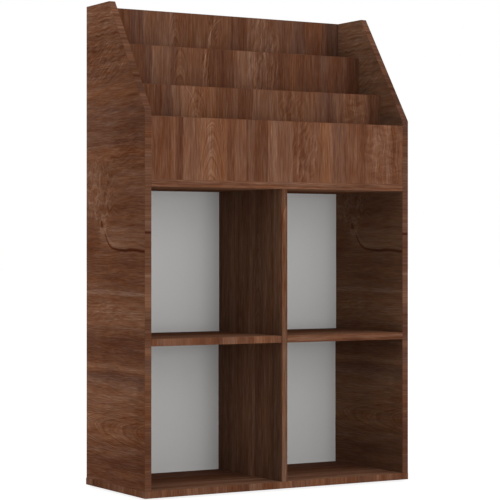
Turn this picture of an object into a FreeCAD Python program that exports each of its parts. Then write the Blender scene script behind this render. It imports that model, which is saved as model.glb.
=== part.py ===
import FreeCAD, Part
import os
import Sketcher

# Bookcase for a child's room: four open cubbies below and three stepped pockets for magazines
# above. It is a flat-pack carcass of faced chipboard with plastic edging, held by dowels, cam
# fittings and base screws, and closed behind the cubbies by two thin white sheets.
#
# X runs from left to right, Y from front to back and Z upwards. Every piece is drawn from the
# corner of the carcass at the left, the front and the underside of the bottom panel. Its
# placement then carries that corner, so that the origin is on the floor under the middle.

SIZES = {
    # Carcass
    "width": 705,
    "carcass_height": 1114,
    "base_depth": 300,
    "side_depth": 297,
    "slope_start": 854,
    "top_flat": 118,
    "board": 16,
    "edging": 1,
    # Cubbies
    "left_cubby_width": 335,
    "lower_cubby_height": 318.5,
    "upper_cubby_height": 336.5,
    # Pockets: each rise is the top of a panel above the board that roofs the cubbies
    "front_panel_rise": 140,
    "middle_panel_rise": 219,
    "rear_panel_rise": 318,
    "pocket_depth": 140,
    # White sheets behind the cubbies
    "back_sheet": 3,
    "sheet_inset": 7,
    "rebate_width": 8,
    "sheet_play": 0.5,
    # Clearances of drilled holes: across the diameter, and at the bottom of the hole
    "hole_play": 0.2,
    "hole_end_play": 0.5,
    # Wooden dowels
    "dowel_diameter": 8,
    "dowel_length": 30,
    "dowel_in_face": 11,
    "dowel_offset": 32,
    "panel_dowel_setback": 150,
    "floor_dowel_setback": 20,
    "divider_dowel_setback": 70,
    # Cam fittings
    "cam_diameter": 15,
    "cam_backing": 3.5,
    "cam_distance": 34,
    "cam_setback": 45,
    "back_cam_setback": 60,
    "bolt_thread": 5,
    "bolt_thread_length": 11,
    "bolt_shank": 6.5,
    "bolt_past_cam": 1.5,
    # Base screws
    "screw_head": 10,
    "screw_head_height": 4,
    "screw_shank": 7,
    "screw_thread": 5,
    "screw_length": 50,
    "screw_setback": 75,
    # Floor glides
    "glide_diameter": 18,
    "glide_height": 4,
    "glide_rim": 1.2,
    "glide_nail": 2.4,
    "glide_nail_length": 11,
    "glide_setback": 45,
}

# Levels and faces that follow from the driving sizes
PLACES = {
    "inner_left": "Sizes.board",
    "inner_right": "Sizes.width - Sizes.board",
    "inner_width": "Places.inner_right - Places.inner_left",
    "divider_left": "Places.inner_left + Sizes.left_cubby_width",
    "divider_right": "Places.divider_left + Sizes.board",
    "divider_middle": "Places.divider_left + Sizes.board / 2",
    "shelf_base": "Sizes.board + Sizes.lower_cubby_height",
    "shelf_middle": "Places.shelf_base + Sizes.board / 2",
    "shelf_top": "Places.shelf_base + Sizes.board",
    "roof_base": "Places.shelf_top + Sizes.upper_cubby_height",
    "roof_middle": "Places.roof_base + Sizes.board / 2",
    "roof_top": "Places.roof_base + Sizes.board",
    "front_panel_top": "Places.roof_top + Sizes.front_panel_rise",
    "middle_panel_top": "Places.roof_top + Sizes.middle_panel_rise",
    "rear_panel_top": "Places.roof_top + Sizes.rear_panel_rise",
    "middle_floor_top": "Places.middle_panel_top - Sizes.pocket_depth",
    "rear_floor_top": "Places.rear_panel_top - Sizes.pocket_depth",
    "pocket_gap": "(Sizes.side_depth - 4 * Sizes.board) / 3",
    "middle_panel_front": "Sizes.board + Places.pocket_gap",
    "middle_panel_back": "Places.middle_panel_front + Sizes.board",
    "rear_panel_front": "Places.middle_panel_back + Places.pocket_gap",
    "rear_panel_back": "Places.rear_panel_front + Sizes.board",
    "back_panel_front": "Sizes.side_depth - Sizes.board",
    "upper_sheet_front": "Sizes.side_depth - Sizes.sheet_inset",
    "lower_sheet_front": "Places.upper_sheet_front + Sizes.back_sheet",
    "sheet_top": "Places.roof_base + Sizes.rebate_width",
    "slope_run": "Sizes.side_depth - Sizes.top_flat",
    "slope_rise": "Sizes.carcass_height - Sizes.slope_start",
    "slope_length": "sqrt(Places.slope_run ^ 2 + Places.slope_rise ^ 2)",
    "cam_height": "Sizes.board - Sizes.cam_backing - Sizes.hole_end_play",
}

# The holes and pins of the joints repeat so often that they are drawn with flat sides, corners on
# the diameter: eight sides for hidden ones, twelve for those that show on the face of a board.
PIN_SIDES = 8
DRUM_SIDES = 12

AXES = "XYZ"
PLANES = {"X": "YZ_Plane", "Y": "XZ_Plane", "Z": "XY_Plane"}
DIRECTIONS = {
    "+X": FreeCAD.Vector(1, 0, 0),
    "-X": FreeCAD.Vector(-1, 0, 0),
    "+Y": FreeCAD.Vector(0, 1, 0),
    "-Y": FreeCAD.Vector(0, -1, 0),
    "+Z": FreeCAD.Vector(0, 0, 1),
    "-Z": FreeCAD.Vector(0, 0, -1),
}
CORNER = ("0", "0", "0")

doc = FreeCAD.newDocument("KidsMagazineRack")
sheet = doc.addObject("Spreadsheet::Sheet", "Sizes")
for row, (alias, number) in enumerate(SIZES.items(), start=1):
    sheet.set(f"A{row}", alias)
    sheet.set(f"B{row}", str(number))
    sheet.setAlias(f"B{row}", alias)
doc.recompute()
places = doc.addObject("App::VarSet", "Places")
for name, formula in PLACES.items():
    places.addProperty("App::PropertyFloat", name)
    places.setExpression(name, formula)
doc.recompute()

bodies = {}
nodes = []
drillings = {}


def value(formula):
    """Present value of a formula over the sheet, in millimetres."""
    return float(sheet.evalExpression(formula))


def opposite(face):
    """The direction that looks the other way."""
    return ("-" if face[0] == "+" else "+") + face[1]


def shift(spot, face, distance):
    """The spot moved by a distance in a direction such as +X."""
    moved = list(spot)
    axis = AXES.index(face[1])
    moved[axis] = f"{spot[axis]} {face[0]} ({distance})"
    return tuple(moved)


def locate(item, spot):
    """Bind a piece's placement to a spot measured from the carcass corner."""
    item.setExpression("Placement.Base.x", f"{spot[0]} - Sizes.width / 2")
    item.setExpression("Placement.Base.y", f"{spot[1]} - Sizes.base_depth / 2")
    item.setExpression("Placement.Base.z", f"{spot[2]} + Sizes.glide_height")


def new_body(label):
    """Empty body that goes by its label."""
    body = doc.addObject("PartDesign::Body", label)
    body.Label = label
    return body


def new_sketch(body, name, axis, level):
    """Sketch square to an axis at a level along it. The XZ plane faces -Y, so its level is negated."""
    sketch = body.newObject("Sketcher::SketchObject", name)
    plane = next(item for item in body.Origin.OriginFeatures if item.Role == PLANES[axis])
    sketch.AttachmentSupport = [(plane, "")]
    sketch.MapMode = "FlatFace"
    sketch.setExpression("AttachmentOffset.Base.z", f"-({level})" if axis == "Y" else level)
    return sketch


def bind(sketch, kind, *geometry, formula):
    """Dimension in a sketch that follows a formula."""
    index = sketch.addConstraint(Sketcher.Constraint(kind, *geometry, value(formula)))
    sketch.setExpression(f"Constraints[{index}]", formula)


def draw_polygon(sketch, corners):
    """Closed outline with every corner dimensioned from the carcass corner."""
    spots = [FreeCAD.Vector(value(u), value(v), 0) for u, v in corners]
    for index, start in enumerate(spots):
        sketch.addGeometry(Part.LineSegment(start, spots[(index + 1) % len(spots)]))
    for index, (u, v) in enumerate(corners):
        before = (index - 1) % len(corners)
        sketch.addConstraint(Sketcher.Constraint("Coincident", index, 1, before, 2))
        bind(sketch, "DistanceX", -1, 1, index, 1, formula=u)
        bind(sketch, "DistanceY", -1, 1, index, 1, formula=v)


def rectangle(u_low, u_high, v_low, v_high):
    """Corners of a rectangle between four levels."""
    return [(u_low, v_low), (u_high, v_low), (u_high, v_high), (u_low, v_high)]


def add_slab(label, axis, level, corners, thickness="Sizes.board"):
    """Board or sheet: an outline square to an axis, made thick towards larger values of that axis."""
    body = new_body(label)
    outline = new_sketch(body, label + "_outline", axis, level)
    draw_polygon(outline, corners)
    pad = body.newObject("PartDesign::Pad", label + "_thickness")
    pad.Profile = outline
    pad.setExpression("Length", thickness)
    pad.Reversed = axis == "Y"
    locate(body, CORNER)
    bodies[label] = body
    nodes.append(body)


def cut_rebate(label, face, level, corners, depth):
    """Step cut along a board's edge, from a face that looks along a direction such as +X."""
    profile = new_sketch(bodies[label], label + "_rebate_outline", face[1], level)
    draw_polygon(profile, corners)
    rebate = bodies[label].newObject("PartDesign::Pocket", label + "_rebate")
    rebate.Profile = profile
    rebate.setExpression("Length", depth)
    rebate.Reversed = face in ("-X", "+Y", "-Z")


def along(face):
    """Rotation that lays an upright pin along a direction."""
    return FreeCAD.Rotation(DIRECTIONS["+Z"], DIRECTIONS[face])


def add_prism(name, sides, diameter, length):
    """Upright pin with flat sides, its corners on the diameter."""
    prism = doc.addObject("Part::Prism", name)
    prism.Polygon = sides
    prism.setExpression("Circumradius", f"({diameter}) / 2")
    prism.setExpression("Height", length)
    return prism


def hole(label, face, spot, diameter, depth, sides=PIN_SIDES):
    """Drill into a face of a board, straight in from a spot on that face."""
    drills = drillings.setdefault(label, [])
    drill = add_prism(f"{label}_drill_{len(drills) + 1}", sides, f"{diameter} + Sizes.hole_play", depth)
    drill.Placement.Rotation = along(opposite(face))
    locate(drill, spot)
    drills.append(drill)


def drill_board(label, drills):
    """Take all its drills out of a board. The drilled board goes by the board's name."""
    blank = bodies[label]
    blank.Label = label + "_blank"
    holes = doc.addObject("Part::MultiFuse", label + "_holes")
    holes.Shapes = drills
    board = doc.addObject("Part::Cut", label + "_drilled")
    board.Base = blank
    board.Tool = holes
    board.Label = label
    nodes[nodes.index(blank)] = board


def add_strip(label, spot, length, width, height):
    """Straight strip of edging on one edge of a board."""
    strip = doc.addObject("Part::Box", label)
    strip.Label = label
    strip.setExpression("Length", length)
    strip.setExpression("Width", width)
    strip.setExpression("Height", height)
    locate(strip, spot)
    return strip


def add_group(label, members):
    """Like pieces that go by one name, each its own solid."""
    group = doc.addObject("Part::Compound", label)
    group.Label = label
    group.Links = members
    nodes.append(group)


def add_stepped_pin(label, steps):
    """Pattern pin of several steps, each with its sides, diameter and length, one above the other."""
    level = "0"
    pieces = []
    for number, (sides, diameter, length) in enumerate(steps, start=1):
        piece = add_prism(f"{label}_step_{number}", sides, diameter, length)
        piece.setExpression("Placement.Base.z", level)
        pieces.append(piece)
        level = f"{level} + {length}"
    pin = doc.addObject("Part::MultiFuse", label)
    pin.Shapes = pieces
    return pin


def add_copies(label, pattern, seats):
    """Group of copies of a pattern piece, each with its rotation and spot."""
    copies = []
    for number, (rotation, spot) in enumerate(seats, start=1):
        copy = doc.addObject("App::Link", f"{label}_{number}")
        copy.LinkedObject = pattern
        copy.Placement.Rotation = rotation
        locate(copy, spot)
        copies.append(copy)
    add_group(label, copies)


# Side panels: an upright front edge, a slope behind the pockets' steps and a short flat top.
# The edging follows the front, the slope and the top. An offset by its thickness moves the two
# bends of that line along the front edge and along the top edge by the shares worked out here.
front_bend = "Sizes.slope_start - Sizes.edging * (Places.slope_length - Places.slope_rise) / Places.slope_run"
top_bend = "Places.slope_run + Sizes.edging * (Places.slope_length - Places.slope_run) / Places.slope_rise"
core_top = "Sizes.carcass_height - Sizes.edging"
outer_line = [
    ("0", "Sizes.board"),
    ("0", "Sizes.slope_start"),
    ("Places.slope_run", "Sizes.carcass_height"),
    ("Sizes.side_depth", "Sizes.carcass_height"),
]
core_line = [
    ("Sizes.edging", "Sizes.board"),
    ("Sizes.edging", front_bend),
    (top_bend, core_top),
    ("Sizes.side_depth", core_top),
]
side_rebate = [
    ("Places.lower_sheet_front", "Sizes.board"),
    ("Sizes.side_depth", "Sizes.board"),
    ("Sizes.side_depth", "Places.sheet_top"),
    ("Places.upper_sheet_front", "Places.sheet_top"),
    ("Places.upper_sheet_front", "Places.shelf_base"),
    ("Places.lower_sheet_front", "Places.shelf_base"),
]
SIDES = (
    ("left_side", "0", "+X", "Places.inner_left"),
    ("right_side", "Places.inner_right", "-X", "Places.inner_right"),
)
for name, outer_level, inner_face, inner_level in SIDES:
    add_slab(name + "_panel", "X", outer_level, core_line + [("Sizes.side_depth", "Sizes.board")])
    cut_rebate(name + "_panel", inner_face, inner_level, side_rebate, "Sizes.rebate_width")
    add_slab(name + "_edging", "X", outer_level, outer_line + core_line[::-1])

# Bottom panel: runs under both sides and a little behind them, edged at the front and the ends
add_slab(
    "bottom_panel", "Z", "0",
    rectangle("Sizes.edging", "Sizes.width - Sizes.edging", "Sizes.edging", "Sizes.base_depth"),
)
end_strip = ("Sizes.edging", "Sizes.base_depth - Sizes.edging", "Sizes.board")
add_group("bottom_panel_edging", [
    add_strip("bottom_front_strip", CORNER, "Sizes.width", "Sizes.edging", "Sizes.board"),
    add_strip("bottom_left_strip", ("0", "Sizes.edging", "0"), *end_strip),
    add_strip("bottom_right_strip", ("Sizes.width - Sizes.edging", "Sizes.edging", "0"), *end_strip),
])

# Divider between the cubbies: its back edge steps forward where the upper sheet crosses it
add_slab("centre_divider", "X", "Places.divider_left", [
    ("Sizes.edging", "Sizes.board"),
    ("Places.lower_sheet_front", "Sizes.board"),
    ("Places.lower_sheet_front", "Places.shelf_base"),
    ("Places.upper_sheet_front", "Places.shelf_base"),
    ("Places.upper_sheet_front", "Places.roof_base"),
    ("Sizes.edging", "Places.roof_base"),
])
nodes.append(add_strip(
    "divider_edging", ("Places.divider_left", "0", "Sizes.board"),
    "Sizes.board", "Sizes.edging", "Places.roof_base - Sizes.board",
))

# Half shelves on both sides of the divider
SHELVES = (
    ("left_shelf", "Places.inner_left", "Places.divider_left"),
    ("right_shelf", "Places.divider_right", "Places.inner_right"),
)
for name, x_low, x_high in SHELVES:
    outline = rectangle(x_low, x_high, "Sizes.edging", "Places.upper_sheet_front")
    add_slab(name, "Z", "Places.shelf_base", outline)
    nodes.append(add_strip(
        name + "_edging", (x_low, "0", "Places.shelf_base"),
        f"{x_high} - {x_low}", "Sizes.edging", "Sizes.board",
    ))

# Board that roofs the cubbies and carries the pockets
add_slab(
    "cubby_roof", "Z", "Places.roof_base",
    rectangle("Places.inner_left", "Places.inner_right", "Sizes.edging", "Sizes.side_depth"),
)
cut_rebate(
    "cubby_roof", "-Z", "Places.roof_base",
    rectangle("Places.inner_left", "Places.inner_right", "Places.upper_sheet_front", "Sizes.side_depth"),
    "Sizes.rebate_width",
)
nodes.append(add_strip(
    "cubby_roof_edging", ("Places.inner_left", "0", "Places.roof_base"),
    "Places.inner_width", "Sizes.edging", "Sizes.board",
))

# Pocket panels and the board behind them, each edged on top
PANELS = (
    ("front_pocket_panel", "0", "Places.roof_top", "Places.front_panel_top"),
    ("middle_pocket_panel", "Places.middle_panel_front", "Places.roof_top", "Places.middle_panel_top"),
    ("rear_pocket_panel", "Places.rear_panel_front", "Places.middle_floor_top", "Places.rear_panel_top"),
    ("upper_back_panel", "Places.back_panel_front", "Places.roof_top", "Sizes.carcass_height"),
)
for name, front, base, top in PANELS:
    core = f"{top} - Sizes.edging"
    add_slab(name, "Y", front, rectangle("Places.inner_left", "Places.inner_right", base, core))
    nodes.append(add_strip(
        name + "_edging", ("Places.inner_left", front, core),
        "Places.inner_width", "Sizes.board", "Sizes.edging",
    ))

# Raised floors of the middle and the rear pocket, between the panel in front and the back panel
FLOORS = (
    ("middle_pocket_floor", "Places.middle_panel_back", "Places.middle_floor_top"),
    ("rear_pocket_floor", "Places.rear_panel_back", "Places.rear_floor_top"),
)
for name, front, top in FLOORS:
    add_slab(
        name, "Z", f"{top} - Sizes.board",
        rectangle("Places.inner_left", "Places.inner_right", front, "Places.back_panel_front"),
    )

# White sheets: the upper one laps in front of the lower one at the back edges of the half shelves
sheet_left = "Places.inner_left - Sizes.rebate_width + Sizes.sheet_play"
sheet_right = "Places.inner_right + Sizes.rebate_width - Sizes.sheet_play"
add_slab(
    "upper_back_sheet", "Y", "Places.upper_sheet_front",
    rectangle(sheet_left, sheet_right, "Places.shelf_base", "Places.sheet_top - Sizes.sheet_play"),
    "Sizes.back_sheet",
)
add_slab(
    "lower_back_sheet", "Y", "Places.lower_sheet_front",
    rectangle(sheet_left, sheet_right, "Sizes.board", "Places.shelf_top"),
    "Sizes.back_sheet",
)

# Joints. Each one notes its holes in the boards that it joins and the seats of its fasteners.
dowel_seats = []
cam_seats = []
bolt_seats = []
double_bolt_seats = []
screw_seats = []
glide_seats = []


def join_dowel(face_board, face, end_board, spot):
    """Dowel from the face of one board into the end of another, at a spot where the two meet."""
    hole(face_board, face, spot, "Sizes.dowel_diameter", "Sizes.dowel_in_face + Sizes.hole_end_play")
    in_end = "Sizes.dowel_length - Sizes.dowel_in_face + Sizes.hole_end_play"
    hole(end_board, opposite(face), spot, "Sizes.dowel_diameter", in_end)
    dowel_seats.append((along(face), shift(spot, opposite(face), "Sizes.dowel_in_face")))


def seat_cam(end_board, face, spot, opens):
    """Bore in a board's end and the cam across it, in a pocket that opens in one of its faces."""
    hole(end_board, opposite(face), spot, "Sizes.bolt_shank", "Sizes.cam_distance")
    mouth = shift(shift(spot, face, "Sizes.cam_distance"), opens, "Sizes.board / 2")
    hole(end_board, opens, mouth, "Sizes.cam_diameter", "Sizes.board - Sizes.cam_backing", DRUM_SIDES)
    inwards = DIRECTIONS[opposite(opens)]
    towards_bolt = DIRECTIONS[opposite(face)]
    turn = FreeCAD.Rotation(towards_bolt, inwards.cross(towards_bolt), inwards, "ZXY")
    cam_seats.append((turn, mouth))


def join_cam(face_board, face, end_board, spot, opens):
    """Bolt screwed into the face of one board, its head drawn in by a cam in the end of another."""
    hole(face_board, face, spot, "Sizes.bolt_thread", "Sizes.bolt_thread_length + Sizes.hole_end_play")
    bolt_seats.append((along(face), shift(spot, opposite(face), "Sizes.bolt_thread_length")))
    seat_cam(end_board, face, spot, opens)


def join_screw(end_board, spot):
    """Screw from under the bottom panel into the lower end of an upright board."""
    under = (spot[0], spot[1], "0")
    hole("bottom_panel", "-Z", under, "Sizes.screw_head", "Sizes.screw_head_height", DRUM_SIDES)
    hole("bottom_panel", "-Z", under, "Sizes.screw_shank", "Sizes.board")
    in_end = "Sizes.screw_length - Sizes.board + Sizes.hole_end_play"
    hole(end_board, "-Z", spot, "Sizes.screw_thread", in_end)
    screw_seats.append((along("+Z"), under))


for name, outer_level, face, x in SIDES:
    side = name + "_panel"
    # Roof of the cubbies: a cam near the front and the back, with a dowel beside each
    for y, y_dowel in (
        ("Sizes.cam_setback", "Sizes.cam_setback + Sizes.dowel_offset"),
        ("Sizes.side_depth - Sizes.cam_setback", "Sizes.side_depth - Sizes.cam_setback - Sizes.dowel_offset"),
    ):
        join_cam(side, face, "cubby_roof", (x, y, "Places.roof_middle"), "-Z")
        join_dowel(side, face, "cubby_roof", (x, y_dowel, "Places.roof_middle"))
    # Pocket panels: a cam half-way up on the hidden rear face, with a dowel above and below
    for panel, front, base, top in PANELS[:3]:
        y = f"{front} + Sizes.board / 2"
        z = f"({base} + {top}) / 2"
        join_cam(side, face, panel, (x, y, z), "+Y")
        join_dowel(side, face, panel, (x, y, f"{z} - Sizes.dowel_offset"))
        join_dowel(side, face, panel, (x, y, f"{z} + Sizes.dowel_offset"))
    # Back panel: a cam near its lower and upper end, with a dowel inside of each
    y = "Places.back_panel_front + Sizes.board / 2"
    for level, inwards in (
        ("Places.roof_top + Sizes.back_cam_setback", "+Z"),
        ("Sizes.carcass_height - Sizes.back_cam_setback", "-Z"),
    ):
        spot = (x, y, level)
        join_cam(side, face, "upper_back_panel", spot, "+Y")
        join_dowel(side, face, "upper_back_panel", shift(spot, inwards, "Sizes.dowel_offset"))
    # Pocket floors: two dowels
    for floor, front, top in FLOORS:
        first = f"{front} + Sizes.floor_dowel_setback"
        last = "Places.back_panel_front - Sizes.floor_dowel_setback"
        for y in (first, last):
            join_dowel(side, face, floor, (x, y, f"{top} - Sizes.board / 2"))
    # Foot of the side: two screws from below, and a dowel between them
    middle = f"{outer_level} + Sizes.board / 2"
    for y in ("Sizes.screw_setback", "Sizes.side_depth - Sizes.screw_setback"):
        join_screw(side, (middle, y, "Sizes.board"))
    join_dowel("bottom_panel", "+Z", side, (middle, "Sizes.side_depth / 2", "Sizes.board"))

# Half shelves: cams and a dowel at the side panels, double bolts through the divider
SHELF_ENDS = (
    ("left_shelf", "left_side_panel", "+X", "Places.inner_left", "-X", "Places.divider_left"),
    ("right_shelf", "right_side_panel", "-X", "Places.inner_right", "+X", "Places.divider_right"),
)
bolt_reach = "Sizes.cam_distance + Sizes.bolt_past_cam"
shelf_cam_rows = ("Sizes.cam_setback", "Places.upper_sheet_front - Sizes.cam_setback")
for shelf, side, face, x_outer, divider_face, x_inner in SHELF_ENDS:
    for y in shelf_cam_rows:
        join_cam(side, face, shelf, (x_outer, y, "Places.shelf_middle"), "-Z")
        seat_cam(shelf, divider_face, (x_inner, y, "Places.shelf_middle"), "-Z")
    join_dowel(side, face, shelf, (x_outer, "Places.upper_sheet_front / 2", "Places.shelf_middle"))
for y in shelf_cam_rows:
    spot = ("Places.divider_left", y, "Places.shelf_middle")
    hole("centre_divider", "-X", spot, "Sizes.bolt_shank", "Sizes.board")
    double_bolt_seats.append((along("+X"), shift(spot, "-X", bolt_reach)))

# Divider: screwed from below and dowelled to the roof
for y in ("Sizes.screw_setback", "Sizes.side_depth - Sizes.screw_setback"):
    join_screw("centre_divider", ("Places.divider_middle", y, "Sizes.board"))
for y in ("Sizes.divider_dowel_setback", "Places.upper_sheet_front - Sizes.divider_dowel_setback"):
    join_dowel("cubby_roof", "-Z", "centre_divider", ("Places.divider_middle", y, "Places.roof_base"))

# Feet of the pocket panels: two dowels down into the board or floor that each one stands on
CARRIERS = ("cubby_roof", "cubby_roof", "middle_pocket_floor")
for (panel, front, base, top), carrier in zip(PANELS, CARRIERS):
    for x in ("Sizes.panel_dowel_setback", "Sizes.width - Sizes.panel_dowel_setback"):
        join_dowel(carrier, "+Z", panel, (x, f"{front} + Sizes.board / 2", base))

# Floor glides under the bottom panel, at the ends and the middle of the front and the back
for x in ("Sizes.glide_setback", "Sizes.width / 2", "Sizes.width - Sizes.glide_setback"):
    for y in ("Sizes.glide_setback", "Sizes.base_depth - Sizes.glide_setback"):
        spot = (x, y, "0")
        hole("bottom_panel", "-Z", spot, "Sizes.glide_nail", "Sizes.glide_nail_length + Sizes.hole_end_play")
        glide_seats.append((along("+Z"), shift(spot, "-Z", "Sizes.glide_height")))

for label, drills in drillings.items():
    drill_board(label, drills)

# Fasteners. Each pattern piece is made once, and its copies sit where the joints noted them.
dowel = add_prism("dowel_pattern", PIN_SIDES, "Sizes.dowel_diameter", "Sizes.dowel_length")
add_copies("wooden_dowels", dowel, dowel_seats)

# Cam: a drum with a mouth at its side for the end of the bolt
drum = add_prism("cam_drum", DRUM_SIDES, "Sizes.cam_diameter", "Places.cam_height")
mouth_reach = "Sizes.bolt_past_cam + Sizes.hole_end_play"
mouth = add_prism(
    "cam_mouth", PIN_SIDES, "Sizes.bolt_shank + Sizes.hole_play", f"Sizes.cam_diameter / 2 + {mouth_reach}",
)
mouth.Placement.Rotation = along("+X")
mouth.setExpression("Placement.Base.x", f"-({mouth_reach})")
mouth.setExpression("Placement.Base.z", "Sizes.board / 2")
cam = doc.addObject("Part::Cut", "cam_pattern")
cam.Base = drum
cam.Tool = mouth
add_copies("cam_locks", cam, cam_seats)

# Cam bolt: a threaded end in the face of a board, and a shank that the cam draws in
bolt = add_stepped_pin("bolt_pattern", [
    (PIN_SIDES, "Sizes.bolt_thread", "Sizes.bolt_thread_length"),
    (PIN_SIDES, "Sizes.bolt_shank", bolt_reach),
])
add_copies("cam_bolts", bolt, bolt_seats)

# Double bolt: one shank through the divider, for a cam at both ends
double_length = f"Sizes.board + 2 * ({bolt_reach})"
double_bolt = add_prism("double_bolt_pattern", PIN_SIDES, "Sizes.bolt_shank", double_length)
add_copies("double_cam_bolts", double_bolt, double_bolt_seats)

# Base screw: a flat head sunk in the bottom panel, a shank through it and a thinner threaded end
screw = add_stepped_pin("screw_pattern", [
    (DRUM_SIDES, "Sizes.screw_head", "Sizes.screw_head_height"),
    (PIN_SIDES, "Sizes.screw_shank", "Sizes.board - Sizes.screw_head_height"),
    (PIN_SIDES, "Sizes.screw_thread", "Sizes.screw_length - Sizes.board"),
])
add_copies("base_screws", screw, screw_seats)

# Glide: a round foot with a sloped rim, turned about its axis, and the nail that holds it
foot = new_body("glide_foot")
foot_profile = new_sketch(foot, "glide_foot_profile", "Y", "0")
glide_radius = "Sizes.glide_diameter / 2"
draw_polygon(foot_profile, [
    ("0", "0"),
    (f"{glide_radius} - Sizes.glide_rim", "0"),
    (glide_radius, "Sizes.glide_rim"),
    (glide_radius, "Sizes.glide_height"),
    ("0", "Sizes.glide_height"),
])
turned_foot = foot.newObject("PartDesign::Revolution", "glide_foot_turned")
turned_foot.Profile = foot_profile
turned_foot.ReferenceAxis = (foot_profile, ["V_Axis"])
turned_foot.Angle = 360
glide_nail = add_prism("glide_nail", PIN_SIDES, "Sizes.glide_nail", "Sizes.glide_nail_length")
glide_nail.setExpression("Placement.Base.z", "Sizes.glide_height")
glide = doc.addObject("Part::MultiFuse", "glide_pattern")
glide.Shapes = [foot, glide_nail]
add_copies("floor_glides", glide, glide_seats)

doc.recompute()
failed = [item.Name for item in doc.Objects if {"Invalid", "Error"} & set(item.State)]
if failed:
    raise RuntimeError(f"these did not come out: {failed}")
blanks = {rebate: rebate.BaseFeature for rebate in doc.findObjects("PartDesign::Pocket")}
blanks.update({cut: cut.Base for cut in doc.findObjects("Part::Cut")})
for cut, blank in blanks.items():
    if cut.Shape.Volume >= blank.Shape.Volume:
        raise RuntimeError(f"{cut.Name} cuts nothing")
for node in nodes:
    if node.Shape.isNull() or not node.Shape.isValid():
        raise RuntimeError(f"{node.Label} has no sound shape")

os.makedirs("parts", exist_ok=True)
for node in nodes:
    node.Shape.exportStep(f"parts/{node.Label}.step")
    print(f"{node.Label}: {len(node.Shape.Solids)} solid(s), {node.Shape.Volume / 1000:.1f} cm3")
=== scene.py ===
import bpy
import numpy as np
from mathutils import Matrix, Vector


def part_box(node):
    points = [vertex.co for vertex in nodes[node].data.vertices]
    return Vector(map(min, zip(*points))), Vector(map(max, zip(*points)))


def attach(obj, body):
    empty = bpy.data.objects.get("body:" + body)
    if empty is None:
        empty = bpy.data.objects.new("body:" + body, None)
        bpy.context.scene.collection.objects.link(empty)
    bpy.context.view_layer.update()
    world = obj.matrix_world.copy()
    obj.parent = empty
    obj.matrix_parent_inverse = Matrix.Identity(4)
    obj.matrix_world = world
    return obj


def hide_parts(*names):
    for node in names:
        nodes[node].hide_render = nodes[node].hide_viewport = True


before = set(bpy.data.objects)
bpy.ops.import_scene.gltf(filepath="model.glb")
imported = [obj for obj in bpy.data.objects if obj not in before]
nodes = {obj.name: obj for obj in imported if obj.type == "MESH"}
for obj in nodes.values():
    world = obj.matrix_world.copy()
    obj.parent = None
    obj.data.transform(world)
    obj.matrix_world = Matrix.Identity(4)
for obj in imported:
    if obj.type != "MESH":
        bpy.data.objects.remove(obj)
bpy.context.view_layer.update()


# Bottom panel: chipboard faced on both sides with paper that is printed in a walnut decor and pressed
# in melamine resin. It lies on the floor glides and the uprights are screwed to it from below.
# The facing is flat and dead matt: printed streaks and lines, pores barely sunk, and raw chips where cut.
def linear(code):
    """sRGB hex to linear: c / 12.92 up to 0.04045, and ((c + 0.055) / 1.055) ^ 2.4 above it."""
    share = np.array([int(code[place:place + 2], 16) for place in (1, 3, 5)]) / 255
    value = np.where(share <= 0.04045, share / 12.92, ((share + 0.055) / 1.055) ** 2.4)
    return (*value.tolist(), 1.0)


def feed(material, node, inputs):
    """Give a node's inputs values or links, by name or in order."""
    for key, given in inputs.items() if isinstance(inputs, dict) else enumerate(inputs):
        if isinstance(given, bpy.types.NodeSocket):
            material.node_tree.links.new(given, node.inputs[key])
        else:
            node.inputs[key].default_value = given


def add_node(material, kind, inputs=(), output=0, **settings):
    """Add one node, set it up, feed its inputs, and return one of its outputs."""
    node = material.node_tree.nodes.new(kind)
    for name, setting in settings.items():
        setattr(node, name, setting)
    feed(material, node, inputs)
    return node.outputs[output]


def new_material(name):
    """Empty node material, and its surface shader."""
    material = bpy.data.materials.new(name)
    material.use_nodes = True
    return material, material.node_tree.nodes["Principled BSDF"]


def blotch(material, place, size, turn=0.0, seed=0.0, detail=2.0, roughness=0.5):
    """Noise between 0 and 1 whose spots have a size in millimetres across and along the grain. The seed
    moves it."""
    spots = add_node(material, "ShaderNodeMapping", {
        "Vector": place, "Location": (seed, 2.7 * seed, 0), "Rotation": (0, 0, turn), "Scale": (*size, 1),
    }, vector_type="TEXTURE")
    return add_node(material, "ShaderNodeTexNoise", {
        "Vector": spots, "Scale": 1.0, "Detail": detail, "Roughness": roughness,
    }, noise_dimensions="2D")


def shade(material, place, centre, half):
    """Oval patch of a half size in millimetres: 1 in its middle, and a soft fall from 0.55 of the way to
    the rim, where it is 0."""
    offset = add_node(material, "ShaderNodeMapping", {
        "Vector": place, "Location": (*centre, 0), "Scale": (*half, 1),
    }, vector_type="TEXTURE")
    radius = add_node(material, "ShaderNodeVectorMath", [offset], 1, operation="LENGTH")
    return add_node(material, "ShaderNodeMapRange", {
        "Value": radius, "From Min": 1.0, "From Max": 0.55, "To Min": 0.0, "To Max": 1.0,
    }, interpolation_type="SMOOTHSTEP")


# Veneers that the decor shows, as tone (0.5 is the mean) and how far it goes from red-brown to grey
VENEERS = {
    "sand": (0.86, 0.30),
    "amber": (0.68, 0.35),
    "honey": (0.60, 0.25),
    "pale": (0.64, 0.60),
    "brown": (0.52, 0.50),
    "ash": (0.51, 0.70),
    "smoke": (0.43, 0.90),
    "russet": (0.41, 0.50),
    "umber": (0.32, 0.65),
    "ink": (0.15, 0.80),
}
# The decor's red-brown ink and its grey-brown one
WALNUT = ("#75482E", "#67483A")


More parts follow.
